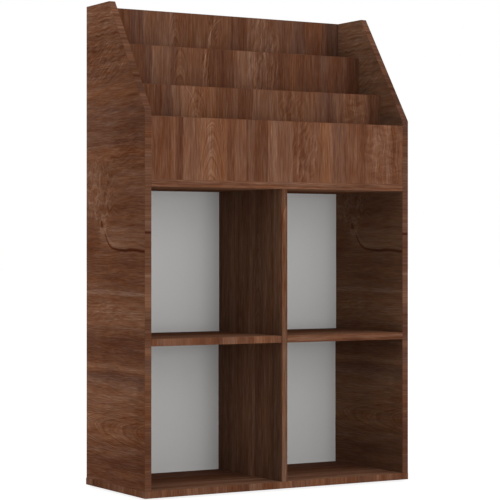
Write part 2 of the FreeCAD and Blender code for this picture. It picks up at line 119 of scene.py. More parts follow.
def walnut_print(material, across, along, strips, figures=(), fades=(), sways=(), start=0.0, warp=3.0,
                 soft=False, contrast=1.0, greyer=0.0, ink=WALNUT, seed=0.0):
    """Printed decor by u across the grain, from the start, and v along it, in millimetres. Strips name the
    veneer from each u on, with soft or sharp edges. The tone is the veneer's, plus streaks, lines, hairs,
    pores and figures, all spread by the contrast. The colour is ink ^ (1.3 - 0.6 tone), so that darker is
    redder, and the inks are mixed by the veneer's grey, plus greyer. The warp is how far all the grain
    drifts to and fro, sways bend it in places, and fades multiply the colour by 1 plus what they draw."""
    spot = add_node(material, "ShaderNodeTexCoord", output="Object")
    axes = add_node(material, "ShaderNodeSeparateXYZ", [spot]).node.outputs
    u = axes[across[0]]
    if len(across) == 2:
        u = add_node(material, "ShaderNodeMath", [u, axes[across[1]]], operation="ADD")
    sheet = add_node(material, "ShaderNodeCombineXYZ", [u, axes[along]])
    flat = add_node(material, "ShaderNodeMapping", {
        "Vector": sheet, "Location": (start / 1000, 0, 0), "Scale": (0.001, 0.001, 1),
    }, vector_type="TEXTURE")
    sway = blotch(material, flat, (50, 130), seed=seed + 5, detail=3)
    shift = add_node(material, "ShaderNodeMath", [sway, 2 * warp, -warp], operation="MULTIPLY_ADD")
    drift = add_node(material, "ShaderNodeCombineXYZ", [shift])
    place = add_node(material, "ShaderNodeVectorMath", [flat, drift], operation="ADD")
    for centre, half, size, reach in sways:
        mask = shade(material, flat, centre, half)
        wave = blotch(material, flat, size, seed=seed + 7)
        swing = add_node(material, "ShaderNodeMath", [wave, reach, -reach / 2], operation="MULTIPLY_ADD")
        bend = add_node(material, "ShaderNodeMath", [swing, mask], operation="MULTIPLY")
        push = add_node(material, "ShaderNodeCombineXYZ", [bend])
        place = add_node(material, "ShaderNodeVectorMath", [place, push], operation="ADD")

    # Real hairs and pores are a few tenths of a millimetre wide, too fine to show in the render, so both
    # are drawn several times as coarse
    streaks = blotch(material, place, (18, 260), seed=seed + 1, detail=2)
    lines = blotch(material, place, (5, 110), seed=seed + 2, detail=3, roughness=0.6)
    hairs = blotch(material, place, (2.4, 45), seed=seed + 4, detail=2)
    pores = blotch(material, place, (1.4, 20), seed=seed + 3, detail=1)

    # The lines carry the edge of each strip to and fro a little, so that it frays along the grain
    u = add_node(material, "ShaderNodeSeparateXYZ", [place])
    fray, width = 12.0, strips[-1][0]
    frayed = add_node(material, "ShaderNodeMath", [lines, fray, u], operation="MULTIPLY_ADD")
    share = add_node(material, "ShaderNodeMath", [
        frayed, 1 / width, -fray / 2 / width,
    ], operation="MULTIPLY_ADD")
    ramp = add_node(material, "ShaderNodeValToRGB", [share]).node
    ramp.color_ramp.interpolation = "EASE" if soft else "CONSTANT"
    stops = ramp.color_ramp.elements
    for index, (edge, veneer) in enumerate(strips):
        stop = stops[index] if index < 2 else stops.new(1.0)
        stop.position = edge / width
        stop.color = (*VENEERS[veneer], 0, 1)
    veneer_tone = add_node(material, "ShaderNodeSeparateColor", [ramp.outputs[0]])
    grey = veneer_tone.node.outputs[1]

    tone = veneer_tone
    for grain, strength in ((streaks, 0.5), (lines, 0.55), (hairs, 0.7), (pores, 0.25)):
        level = add_node(material, "ShaderNodeMath", [
            grain, strength, -strength / 2,
        ], operation="MULTIPLY_ADD")
        tone = add_node(material, "ShaderNodeMath", [tone, level], operation="ADD")
    for figure, strength, sizes in figures:
        drawn = figure(material, place, **sizes)
        tone = add_node(material, "ShaderNodeMath", [drawn, strength, tone], operation="MULTIPLY_ADD")
    tone = add_node(material, "ShaderNodeMath", [
        tone, contrast, 0.5 - contrast / 2,
    ], operation="MULTIPLY_ADD")
    tinge, tinge_reach = blotch(material, place, (12, 90), seed=seed + 6, detail=2), 0.8
    tinted = add_node(material, "ShaderNodeMath", [
        tinge, tinge_reach, greyer - tinge_reach / 2,
    ], operation="MULTIPLY_ADD")
    grey = add_node(material, "ShaderNodeMath", [grey, tinted], operation="ADD", use_clamp=True)
    # A colour mix takes its share at 0 and its colours at 6 and 7, and gives the result at 2
    walnut = add_node(material, "ShaderNodeMix", {
        0: grey, 6: linear(ink[0]), 7: linear(ink[1]),
    }, 2, data_type="RGBA")
    power = add_node(material, "ShaderNodeMath", [tone, -0.6, 1.3], operation="MULTIPLY_ADD")
    decor = add_node(material, "ShaderNodeGamma", [walnut, power])
    # Fades scale the colour. On the sides, the panels behind the pockets and the divider's edging, part of
    # them is painted light and shade.
    for fade, strength, sizes in fades:
        drawn = fade(material, flat, **sizes)
        left = add_node(material, "ShaderNodeMath", [drawn, strength, 1.0], operation="MULTIPLY_ADD")
        decor = add_node(material, "ShaderNodeVectorMath", {0: decor, 3: left}, operation="SCALE")
    return decor, pores, spot, axes


def matt_facing(material, shader, colour, pores, roughness):
    """Dead-matt surface: it mirrors nothing, so the eye sees only the print, and the press has sunk the
    pores by a few hundredths of a millimetre."""
    press_depth = 0.0001
    relief = add_node(material, "ShaderNodeBump", {"Strength": 0.5, "Distance": press_depth, "Height": pores})
    feed(material, shader, {
        "Base Color": colour, "Normal": relief, "Roughness": roughness, "Specular IOR Level": 0.0,
    })


CHIPBOARD = ("#8A6A48", "#C7A67A")


def walnut_melamine(board, across, along, strips, **print_sizes):
    """Melamine facing of a board, no thicker than paper. Between the two faces, where the board is cut or
    drilled, the eye sees raw chips of wood, pale and dark."""
    material, shader = new_material("walnut_melamine_" + board)
    decor, pores, spot, axes = walnut_print(material, across, along, strips, **print_sizes)
    low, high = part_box(board)
    through = ({0, 1, 2} - {"XYZ".index(across), "XYZ".index(along)}).pop()
    middle = (low[through] + high[through]) / 2
    facing, chip_length = 0.0001, 3
    cut = add_node(material, "ShaderNodeMath", [
        axes[through], middle, (high[through] - low[through]) / 2 - facing,
    ], operation="COMPARE")
    chips = add_node(material, "ShaderNodeTexVoronoi", {"Vector": spot, "Scale": 1000 / chip_length}, 1)
    chip_tone = add_node(material, "ShaderNodeSeparateColor", [chips])
    raw = add_node(material, "ShaderNodeMix", {
        0: chip_tone, 6: linear(CHIPBOARD[0]), 7: linear(CHIPBOARD[1]),
    }, 2, data_type="RGBA")
    colour = add_node(material, "ShaderNodeMix", {0: cut, 6: decor, 7: raw}, 2, data_type="RGBA")
    matt_facing(material, shader, colour, pores, 0.7)
    nodes[board].data.materials.clear()
    nodes[board].data.materials.append(material)


FLOOR_STRIPS = [
    (0, "sand"), (35, "amber"), (60, "sand"), (95, "amber"), (125, "brown"), (160, "russet"), (200, "smoke"),
    (300, "smoke"),
]
walnut_melamine("bottom_panel", "Y", "X", FLOOR_STRIPS, start=-150.0, greyer=0.1, seed=11)


# Edging of the bottom panel: a plastic strip 1 mm thick, glued to the front edge and both ends and
# trimmed with a small rounded arris. Its print runs across the strip, in narrow stripes.
def edging_strip(inner, outer, across, arris=0.0008):
    """Profile along a path: inner + (outer - inner) h + across s. The profile goes up one side, round
    the arris, s = r (1 - cos a) and h = 1 - r + r sin a, over the face, and down in the same way."""
    inner, outer, across = np.array(inner), np.array(outer), np.array(across)
    turn = np.linspace(0, np.pi / 2, 5)
    side = arris / np.linalg.norm(across) * (1 - np.cos(turn))
    rise = 1 - arris / np.linalg.norm(outer - inner, axis=1).min() * (1 - np.sin(turn))
    s = np.concatenate([[0], side, 1 - side[::-1], [1]])
    h = np.concatenate([[0], rise, rise[::-1], [0]])
    points = inner[:, None] + (outer - inner)[:, None] * h[:, None] + across * s[:, None]
    count, wide = points.shape[:2]
    corner = np.arange(count * wide).reshape(count, wide)
    after = np.roll(corner, -1, axis=1)
    quads = np.stack([corner[:-1], after[:-1], after[1:], corner[1:]], -1).reshape(-1, 4)
    faces = quads.tolist() + [corner[0, ::-1].tolist(), corner[-1].tolist()]
    if np.dot(np.cross(across, outer[1] - outer[0]), outer[0] - inner[0]) < 0:
        faces = [face[::-1] for face in faces]
    return points.reshape(-1, 3), faces


def put_mesh(name, parts, material, slot, *replaced):
    """One object made of one or more parts, each with its points and its faces."""
    points, faces, first = [], [], 0
    for part_points, part_faces in parts:
        points.append(part_points)
        faces += [[corner + first for corner in face] for face in part_faces]
        first += len(part_points)
    mesh = bpy.data.meshes.new(name)
    mesh.from_pydata(np.concatenate(points).tolist(), [], faces)
    mesh.materials.append(material)
    piece = bpy.data.objects.new(name, mesh)
    bpy.context.scene.collection.objects.link(piece)
    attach(piece, "root")
    if replaced:
        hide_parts(*replaced)


def walnut_edging(name, across, along, strips, **print_sizes):
    """The same print on plastic, as matt as the boards' facing."""
    material, shader = new_material("walnut_edging_" + name)
    decor, pores = walnut_print(material, across, along, strips, **print_sizes)[:2]
    matt_facing(material, shader, decor, pores, 0.6)
    return material


STRIPE_EDGING = [
    (0, "brown"), (60, "russet"), (95, "pale"), (150, "brown"), (185, "russet"), (230, "umber"),
    (262, "pale"), (300, "russet"), (345, "amber"), (380, "brown"), (430, "honey"), (470, "brown"),
    (520, "russet"), (560, "ash"), (610, "brown"), (660, "russet"), (705, "brown"),
]
low, high = map(np.array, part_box("bottom_panel_edging"))
core_low, core_high = map(np.array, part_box("bottom_panel"))
thick = np.array((0, 0, high[2] - low[2]))
front_inner = [(low[0], core_low[1], low[2]), (high[0], core_low[1], low[2])]
front_outer = [low, (high[0], low[1], low[2])]
left_inner = [(core_low[0], high[1], low[2]), (core_low[0], core_low[1], low[2])]
left_outer = [(low[0], high[1], low[2]), (low[0], core_low[1], low[2])]
right_inner = [(core_high[0], core_low[1], low[2]), (core_high[0], high[1], low[2])]
right_outer = [(high[0], core_low[1], low[2]), (high[0], high[1], low[2])]
bottom_edging = walnut_edging("bottom", "XY", "Z", STRIPE_EDGING, start=-502.5, seed=13)
put_mesh("bottom_edging_strips", [
    edging_strip(front_inner, front_outer, thick),
    edging_strip(left_inner, left_outer, thick),
    edging_strip(right_inner, right_outer, thick),
], bottom_edging, "walnut_edging", "bottom_panel_edging")


# Side panels: faced chipboard cut to a pentagon, screwed to the bottom panel, with the grain from front to
# back. Both are cut from the same place of the print, so the same knot, split and ovals come twice. On the
# right one, which turns its inner face to the eye, the print is fainter and a little more olive.
SIDE_BANDS = [
    (0, "russet"), (45, "russet"), (60, "umber"), (95, "brown"), (130, "honey"), (180, "amber"),
    (225, "amber"), (243, "pale"), (258, "smoke"), (270, "brown"), (281, "amber"), (296, "russet"),
    (320, "umber"), (346, "umber"), (364, "brown"), (385, "amber"), (435, "amber"), (445, "pale"),
    (466, "brown"), (495, "russet"), (530, "russet"), (565, "brown"), (640, "brown"), (740, "brown"),
    (765, "honey"), (795, "ash"), (860, "ash"), (885, "brown"), (902, "honey"), (930, "brown"),
    (1022, "russet"), (1120, "amber"),
]


def arches(material, place, centre, half, spacing, radius, seed=0.0):
    """Nested arches where the cut skims the growth rings: lines at uneven steps of v + u^2 / (2 radius),
    about one in each spacing, with u and v from the centre. Their tips point along the grain."""
    mask = shade(material, place, centre, half)
    offset = add_node(material, "ShaderNodeVectorMath", [place, (*centre, 0)], operation="SUBTRACT")
    u, v = add_node(material, "ShaderNodeSeparateXYZ", [offset]).node.outputs[:2]
    square = add_node(material, "ShaderNodeMath", [u, u], operation="MULTIPLY")
    level = add_node(material, "ShaderNodeMath", [square, 0.5 / radius, v], operation="MULTIPLY_ADD")
    wobble = blotch(material, place, (16, 50), seed=seed)
    bent = add_node(material, "ShaderNodeMath", [wobble, spacing, level], operation="MULTIPLY_ADD")
    rings = add_node(material, "ShaderNodeTexNoise", {
        "W": bent, "Scale": 2 / spacing, "Detail": 1.0,
    }, noise_dimensions="1D")
    centred = add_node(material, "ShaderNodeMath", [rings, -0.5], operation="ADD")
    return add_node(material, "ShaderNodeMath", [centred, mask], operation="MULTIPLY")


def curl(material, place, centre, half, size, turn=0.0, seed=0.0, eddy=30.0, swirl=15.0):
    """Patch of curly or burred grain, as far as the oval mask goes: strokes of their own size and turn,
    which eddies of a given size carry to and fro by up to the swirl."""
    mask = shade(material, place, centre, half)
    eddies = blotch(material, place, (eddy, eddy), seed=seed + 1).node.outputs[1]
    swirled = add_node(material, "ShaderNodeVectorMath", [
        eddies, (swirl, swirl, 0), place,
    ], operation="MULTIPLY_ADD")
    strokes = blotch(material, swirled, size, turn, seed, 3.0, 0.6)
    level = add_node(material, "ShaderNodeMath", [strokes, -0.5], operation="ADD")
    return add_node(material, "ShaderNodeMath", [level, mask], operation="MULTIPLY")


def painted_light_falloff(material, place, middle):
    """Distance along the grain from a middle, for painted light that pales the colour from the front to the
    back.
    """
    along = add_node(material, "ShaderNodeSeparateXYZ", [place], 1)
    return add_node(material, "ShaderNodeMath", [along, -middle], operation="ADD")


def split(material, place, knot, drop, bend, width):
    """Split or vein that leaves a knot and levels out beside it: a line at the knot's level minus
    drop (1 - exp(-t / bend)), with t the distance from the knot down the grain, and as wide as given."""
    u, v = add_node(material, "ShaderNodeSeparateXYZ", [place]).node.outputs[:2]
    away = add_node(material, "ShaderNodeMath", [knot[1], v], operation="SUBTRACT")
    share = add_node(material, "ShaderNodeMath", [away, -1 / bend], operation="MULTIPLY")
    fall = add_node(material, "ShaderNodeMath", [share], operation="EXPONENT")
    level = add_node(material, "ShaderNodeMath", [fall, drop, knot[0] - drop], operation="MULTIPLY_ADD")
    apart = add_node(material, "ShaderNodeMath", [u, level], operation="SUBTRACT")
    gap = add_node(material, "ShaderNodeMath", [apart], operation="ABSOLUTE")
    line = add_node(material, "ShaderNodeMapRange", {
        "Value": gap, "From Min": width, "From Max": 0.0,
    }, interpolation_type="SMOOTHSTEP")
    begun = add_node(material, "ShaderNodeMapRange", {"Value": away, "From Min": -2.0, "From Max": 6.0})
    return add_node(material, "ShaderNodeMath", [line, begun], operation="MULTIPLY")


# Each figure has its strength, paler above 0 and darker below, and its sizes in millimetres
KNOT = (609, 62)
SIDE_FIGURES = [
    # The knot's dark split and the pale line along it, its heart and its halo
    (split, -0.75, dict(knot=(KNOT[0] - 18, KNOT[1] - 10), drop=45, bend=22, width=4.5)),
    (split, 0.22, dict(knot=(KNOT[0] - 9, KNOT[1] - 8), drop=45, bend=24, width=7)),
    (shade, -0.55, dict(centre=(KNOT[0] - 2, KNOT[1] + 4), half=(7, 9))),
    (shade, 0.25, dict(centre=(KNOT[0] - 6, KNOT[1] - 2), half=(28, 24))),
    # Wild grain above the knot, with paler and darker spots round it
    (curl, 1.0, dict(centre=(680, 85), half=(100, 105), size=(24, 8), seed=2, eddy=26, swirl=26)),
    (shade, 0.16, dict(centre=(690, 118), half=(75, 75))),
    (shade, -0.12, dict(centre=(640, -40), half=(45, 95))),
    (shade, 0.16, dict(centre=(580, 5), half=(32, 90))),
    (shade, -0.16, dict(centre=(565, 125), half=(45, 65))),
    # A pale and a dark line from front to back, and darker corners
    (shade, 0.17, dict(centre=(449, 10), half=(7, 260))),
    (shade, -0.16, dict(centre=(434, 20), half=(8, 240))),
    (shade, -0.12, dict(centre=(800, -95), half=(85, 130))),
    (shade, -0.14, dict(centre=(150, -140), half=(150, 50))),
    # The ovals near the foot, and rippled grain near the top
    (arches, 0.9, dict(centre=(141, -20), half=(80, 230), spacing=36, radius=4)),
    (curl, 1.0, dict(centre=(1080, 90), half=(65, 190), size=(5, 60), turn=0.08, seed=3)),
    (curl, 1.1, dict(centre=(980, 60), half=(70, 160), size=(5, 34), turn=0.45, seed=4, eddy=40, swirl=8)),
    (shade, 0.12, dict(centre=(1040, 15), half=(75, 60))),
    (curl, 0.8, dict(centre=(765, -60), half=(60, 130), size=(6, 45), turn=0.1, seed=6)),
    (curl, 0.8, dict(centre=(405, 40), half=(35, 130), size=(6, 40), turn=0.1, seed=7)),
]
# Each sway has its centre, its half size, the size of its waves and how far they reach
SIDE_SWAYS = [
    ((1085, 60), (75, 220), (70, 60), 12),
    ((975, 40), (85, 220), (40, 50), 8),
    ((680, 80), (110, 120), (40, 30), 40),
]
side_print = dict(figures=SIDE_FIGURES, sways=SIDE_SWAYS, warp=5.0, soft=True, seed=21)
OLIVE_WALNUT = ("#754B2F", "#674B3B")
top_shade = (shade, 0.1, dict(centre=(960, 60), half=(330, 400)))
# Both sides get painted light: their colour darkens towards the front and pales towards the back.
for side, contrast, greyer, ink, fades in (
    ("left_side_panel", 1.0, 0.02, WALNUT, []),
    ("right_side_panel", 0.78, 0.25, OLIVE_WALNUT, [top_shade]),
):
    walnut_melamine(side, "Z", "Y", SIDE_BANDS, start=4.0, contrast=contrast, greyer=greyer, ink=ink,
                    fades=[(painted_light_falloff, 0.0007, dict(middle=60))] + fades, **side_print)


# Side edging: one plastic strip bent round the front edge, the slope and the top of each side, and glued on.
# It is printed with the sides' own decor across its width, some 40 mm higher up than on the side, and has a
# few bands of its own on the slope, each with its strength, its height in the print and how far it reaches.
EDGE_BANDS = [
    (0.25, 838, 22), (-0.16, 869, 22), (-0.25, 908, 30), (0.12, 946, 24), (-0.14, 966, 20), (0.15, 1030, 30),
]
# The edging gets the same painted light as the sides, paler towards the back.
edge_fades = [(painted_light_falloff, 0.0005, dict(middle=60))]
edge_fades += [(shade, strength, dict(centre=(z, 0), half=(reach, 900))) for strength, z, reach in EDGE_BANDS]
right_shade = (shade, -0.09, dict(centre=(600, 0), half=(1200, 900)))
low, high = map(np.array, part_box("left_side_edging"))
core_low, core_high = map(np.array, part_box("left_side_panel"))
slope_start, top_flat = 0.858, 0.118
run = high[1] - top_flat - low[1]
rise = high[2] - slope_start
slope = np.hypot(run, rise)
edging_thickness = core_low[1] - low[1]
for hand, greyer, fades in (("left", 0.15, []), ("right", 0.22, [right_shade])):
    side = hand + "_side_edging"
    x_low, x_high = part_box(side)[0][0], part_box(side)[1][0]
    outer = np.array([
        (x_low, low[1], low[2]),
        (x_low, low[1], slope_start),
        (x_low, low[1] + run, high[2]),
        (x_low, high[1], high[2]),
    ])
    inner = np.array([
        (x_low, core_low[1], low[2]),
        (x_low, core_low[1], slope_start - edging_thickness * (slope - rise) / run),
        (x_low, low[1] + run + edging_thickness * (slope - run) / rise, core_high[2]),
        (x_low, high[1], core_high[2]),
    ])
    across = np.array((x_high - x_low, 0, 0))
    material = walnut_edging(hand + "_side", "Z", "Y", SIDE_BANDS, start=46.0, greyer=greyer,
                             fades=edge_fades + fades, **side_print)
    put_mesh(hand + "_edging_strip", [edging_strip(inner, outer, across)], material, "walnut_edging", side)


# Centre divider: faced chipboard with upright grain, screwed to the bottom panel and doweled to the board
# over the cubbies. Its edging is striped from end to end, one mark slants across it near the top, and its top
# has painted shade under the board over the cubbies.
DIVIDER_STRIPS = [
    (0, "brown"), (35, "russet"), (80, "umber"), (120, "brown"), (150, "russet"), (200, "brown"),
    (240, "smoke"), (300, "brown"),
]
walnut_melamine("centre_divider", "Y", "Z", DIVIDER_STRIPS, figures=[
    (arches, 0.6, dict(centre=(105, 480), half=(60, 200), spacing=30, radius=4)),
], fades=[
    (shade, -0.3, dict(centre=(10, 180), half=(45, 330))),
    (shade, 0.28, dict(centre=(135, 180), half=(90, 300))),
], start=-150.0, greyer=0.35, ink=OLIVE_WALNUT, seed=31)


def straight_edging(node, end_low, end_high, outwards, across):
    """Strip on a straight edge: the node's box between two corners, its face on the outward side."""
    low, high = map(np.array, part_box(node))
    line = np.array([np.where(end_low, high, low), np.where(end_high, high, low)])
    depth = np.array(outwards) * (high - low)
    return edging_strip(line, line + depth, np.array(across) * (high - low))


UPRIGHT_EDGING = [(0, "umber"), (4, "brown"), (8, "pale"), (12, "russet"), (16, "russet")]
divider_edging = walnut_edging("divider", "X", "Z", UPRIGHT_EDGING, figures=[
    (shade, 0.28, dict(centre=(8, 150), half=(60, 280))),
    (shade, 0.15, dict(centre=(8, 635), half=(60, 60))),
    (split, -0.3, dict(knot=(14, 655), drop=14, bend=14, width=2)),
    (split, 0.2, dict(knot=(18, 655), drop=14, bend=14, width=3)),
], fades=[
    (shade, -0.25, dict(centre=(8, 150), half=(60, 280))),
    (shade, -0.12, dict(centre=(8, 480), half=(60, 190))),
    # Painted shade at the top of the edging, under the board over the cubbies
    (shade, -0.3, dict(centre=(8, 691), half=(60, 50))),
    (shade, -0.14, dict(centre=(8, 350), half=(60, 900))),
], start=-1.5, warp=1.0, greyer=-0.2, seed=33)
put_mesh("divider_edging_strip", [
    straight_edging("divider_edging", (0, 1, 0), (0, 1, 1), (0, -1, 0), (1, 0, 0)),
], divider_edging, "walnut_edging", "divider_edging")


# Half shelves: faced chipboard, fixed between the sides and the divider by cams, bolts and dowels. The edging
# in front is striped across on the left shelf and along on the right one.
LENGTH_EDGING = [(0, "umber"), (4, "brown"), (6, "pale"), (12, "russet"), (16, "russet")]
SHELF_EDGING = {
    "left_shelf": walnut_edging("left_shelf", "X", "Z", STRIPE_EDGING, start=-420.0, seed=43),
    "right_shelf": walnut_edging("right_shelf", "Z", "X", LENGTH_EDGING, start=338.5, warp=2.5, seed=44),
}
for shelf, edging in SHELF_EDGING.items():
    walnut_melamine(shelf, "Y", "X", FLOOR_STRIPS, start=-150.0, greyer=0.05, seed=41)
    put_mesh(shelf + "_edging_strip", [
        straight_edging(shelf + "_edging", (0, 1, 0), (1, 1, 0), (0, -1, 0), (0, 0, 1)),
    ], edging, "walnut_edging", shelf + "_edging")


# Board over the cubbies: faced chipboard from side to side, fixed by cams, bolts and dowels. It carries the
# pockets, and its edging shows as a rail under the front pocket panel.
walnut_melamine("cubby_roof", "Y", "X", FLOOR_STRIPS, start=-140.0, seed=51)
RAIL_EDGING = [(0, "brown"), (5, "umber"), (8, "ash"), (11, "pale"), (16, "pale")]
rail_edging = walnut_edging("cubby_roof", "Z", "X", RAIL_EDGING, start=691.0, warp=2.5, seed=53)
put_mesh("cubby_roof_edging_strip", [
    straight_edging("cubby_roof_edging", (0, 1, 0), (1, 1, 0), (0, -1, 0), (0, 0, 1)),
], rail_edging, "walnut_edging", "cubby_roof_edging")


# Pocket panels and the panel behind them: faced chipboard with a thin edging on top, fixed to the sides by
# cams, bolts and dowels. The grain is upright, in strips of different veneers that come at almost the same
# place in each panel. Burred grain bends the strips, and the panels behind have painted shade at their right
# end.
PANEL_STRIPS = {
    "front_pocket_panel": [
        (0, "russet"), (45, "brown"), (59, "umber"), (78, "pale"), (112, "amber"), (155, "honey"),
        (190, "russet"), (212, "brown"), (240, "umber"), (247, "ash"), (262, "umber"),
        (299, "pale"), (365, "russet"), (400, "brown"), (440, "honey"), (473, "ash"),
        (515, "brown"), (549, "russet"), (567, "brown"), (640, "russet"), (673, "russet"),
    ],
    "middle_pocket_panel": [
        (0, "brown"), (30, "russet"), (50, "umber"), (72, "brown"), (80, "smoke"), (100, "pale"),
        (125, "amber"), (165, "honey"), (215, "russet"), (260, "ash"), (272, "umber"),
        (312, "pale"), (380, "brown"), (457, "brown"), (495, "smoke"), (545, "pale"),
        (570, "brown"), (673, "brown"),
    ],
    "rear_pocket_panel": [
        (0, "russet"), (76, "smoke"), (95, "pale"), (145, "ash"), (162, "brown"), (182, "brown"),
        (230, "russet"), (250, "umber"), (283, "ink"), (289, "umber"), (317, "pale"),
        (380, "ash"), (425, "umber"), (467, "russet"), (500, "umber"), (560, "smoke"),
        (580, "umber"), (673, "umber"),
    ],
    "upper_back_panel": [
        (0, "ash"), (60, "russet"), (90, "smoke"), (125, "pale"), (200, "brown"), (280, "russet"),
        (300, "brown"), (325, "russet"), (362, "ink"), (368, "umber"), (400, "russet"),
        (410, "pale"), (500, "ash"), (540, "smoke"), (575, "russet"), (630, "smoke"),
        (673, "smoke"),
    ],
}
PANEL_FIGURES = {
    "front_pocket_panel": [
        (arches, 0.9, dict(centre=(152, 770), half=(48, 150), spacing=20, radius=5, seed=1)),
        (curl, 0.9, dict(centre=(400, 770), half=(44, 110), size=(6, 24), turn=-0.4, seed=8)),
        (curl, 0.8, dict(centre=(625, 790), half=(75, 120), size=(44, 13), seed=9, eddy=30, swirl=24)),
        (shade, 0.08, dict(centre=(625, 810), half=(75, 110))),
    ],
    "middle_pocket_panel": [
        (arches, 0.9, dict(centre=(165, 870), half=(48, 150), spacing=20, radius=5, seed=2)),
        (curl, 0.8, dict(centre=(420, 870), half=(44, 90), size=(6, 24), turn=-0.4, seed=8)),
        (curl, 0.9, dict(centre=(600, 865), half=(40, 70), size=(30, 9), seed=9, eddy=30, swirl=24)),
        (split, 0.22, dict(knot=(138, 922), drop=-40, bend=50, width=2.5)),
        (split, 0.22, dict(knot=(183, 912), drop=20, bend=30, width=2.5)),
    ],
    "rear_pocket_panel": [
        (arches, 0.9, dict(centre=(172, 975), half=(22, 90), spacing=22, radius=3, seed=3)),
        (curl, 1.2, dict(centre=(240, 980), half=(16, 70), size=(4, 24), turn=-0.25, seed=8)),
        (split, 0.34, dict(knot=(245, 1026), drop=14, bend=50, width=3.5)),
        (split, 0.26, dict(knot=(254, 1024), drop=12, bend=30, width=2.5)),
        (curl, 1.2, dict(centre=(400, 975), half=(60, 90), size=(6, 34), turn=-0.1, seed=9)),
    ],
    "upper_back_panel": [
        (arches, 0.9, dict(centre=(211, 1070), half=(22, 90), spacing=22, radius=3, seed=4)),
        (curl, 1.2, dict(centre=(312, 1075), half=(18, 70), size=(4, 24), turn=-0.25, seed=8)),
        (split, 0.34, dict(knot=(342, 1113), drop=43, bend=22, width=3.5)),
        (split, 0.26, dict(knot=(323, 1111), drop=20, bend=20, width=2.5)),
        (curl, 1.0, dict(centre=(455, 1070), half=(60, 90), size=(6, 34), turn=-0.1, seed=9)),
    ],
}
BURR_SWAYS = {
    "front_pocket_panel": [((625, 785), (110, 150), (34, 40), 12), ((400, 770), (55, 120), (24, 40), 10)],
    "middle_pocket_panel": [((600, 865), (90, 130), (34, 40), 12), ((420, 870), (50, 100), (24, 40), 10)],
}
for panel, strips in PANEL_STRIPS.items():
    panel_width = strips[-1][0]
    shaded_right_end = (panel_width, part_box(panel)[1][2] * 1000)
    # Painted shade: the panels behind the front one darken over their last few centimetres, in the corner by
    # the right side.
    fades = [] if panel == "front_pocket_panel" else [(shade, -0.3, dict(centre=shaded_right_end, half=(52, 500)))]
    walnut_melamine(panel, "X", "Z", strips, figures=PANEL_FIGURES[panel], fades=fades,
                    sways=BURR_SWAYS.get(panel, ()), start=-panel_width / 2, warp=2.0, seed=61)
    edging = walnut_edging(panel, "Y", "X", LENGTH_EDGING, start=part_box(panel)[0][1] * 1000, seed=63)
    put_mesh(panel + "_edging_strip", [
        straight_edging(panel + "_edging", (0, 0, 0), (1, 0, 0), (0, 0, 1), (0, 1, 0)),
    ], edging, "walnut_edging", panel + "_edging")


# Raised floors of the middle and the rear pocket: faced chipboard on dowels, so that a magazine stands high
# enough to be seen. The panels in front of them hide them.
for floor in ("middle_pocket_floor", "rear_pocket_floor"):
    walnut_melamine(floor, "Y", "X", FLOOR_STRIPS, start=-150.0, seed=71)


# Back sheets: 3 mm hardboard with white lacquer on the front. Behind and at the edges it is raw: brown
# pressed fibre with a fine felted mottle. The lacquer is plain, with a faint roller texture.
WHITE_LACQUER = "#E6E8E7"
HARDBOARD = ("#6B4A30", "#8C6642")
for sheet in ("upper_back_sheet", "lower_back_sheet"):
    material, shader = new_material("lacquered_hardboard_" + sheet)
    spot = add_node(material, "ShaderNodeTexCoord", output="Object")
    depth = add_node(material, "ShaderNodeSeparateXYZ", [spot], 1)
    front, lacquer_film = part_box(sheet)[0][1], 0.0002
    lacquered = add_node(material, "ShaderNodeMath", [depth, front, lacquer_film], operation="COMPARE")
    # Single fibres are too fine to show, so their mottle is drawn in spots as large as a flock of them
    flock, peel_spot = 6, 2.5
    fibre = add_node(material, "ShaderNodeTexNoise", {"Vector": spot, "Scale": 1000 / flock, "Detail": 4.0})
    raw = add_node(material, "ShaderNodeMix", {
        0: fibre, 6: linear(HARDBOARD[0]), 7: linear(HARDBOARD[1]),
    }, 2, data_type="RGBA")
    colour = add_node(material, "ShaderNodeMix", {
        0: lacquered, 6: raw, 7: linear(WHITE_LACQUER),
    }, 2, data_type="RGBA")
    peel = add_node(material, "ShaderNodeTexNoise", {"Vector": spot, "Scale": 1000 / peel_spot})
    relief = add_node(material, "ShaderNodeBump", {"Strength": 0.06, "Distance": 0.0002, "Height": peel})
    gloss = add_node(material, "ShaderNodeMapRange", {"Value": lacquered, "To Min": 0.85, "To Max": 0.5})
    feed(material, shader, {"Base Color": colour, "Roughness": gloss, "Normal": relief})
    nodes[sheet].data.materials.clear()
    nodes[sheet].data.materials.append(material)


# Nails of the back sheets: plated steel with a domed head, driven through the hardboard into the rebates
# of the sides and the roof, the divider's back edge and the half shelves' back edges.
def turn_angles(count):
    """Angles of a full turn."""
    return np.arange(count) * 2 * np.pi / count


def turned(rings, seats, axis):
    """Rings round an axis, joined in order: seat + radius (cos t, sin t) + height along the axis. A ring's
    radius and height are each a number or a row over the turn t; the first and last rings are closed."""
    count = max(np.size(size) for ring in rings for size in ring)
    count = 32 if count == 1 else count
    t = turn_angles(count)
    radius = np.stack([np.broadcast_to(ring[0], count) for ring in rings])[..., None]
    height = np.stack([np.broadcast_to(ring[1], count) for ring in rings])[..., None]
    axis = np.array(axis, float)
    first = np.roll(axis, 1)
    second = np.cross(axis, first)
    shape = radius * (np.cos(t)[:, None] * first + np.sin(t)[:, None] * second) + height * axis
    points = np.array(seats)[:, None, None] + shape
    corner = np.arange(points[..., 0].size).reshape(points.shape[:3])
    after = np.roll(corner, -1, axis=2)
    quads = np.stack([corner[:, :-1], after[:, :-1], after[:, 1:], corner[:, 1:]], -1).reshape(-1, 4)
    faces = quads.tolist() + corner[:, 0, ::-1].tolist() + corner[:, -1].tolist()
    return points.reshape(-1, 3), faces


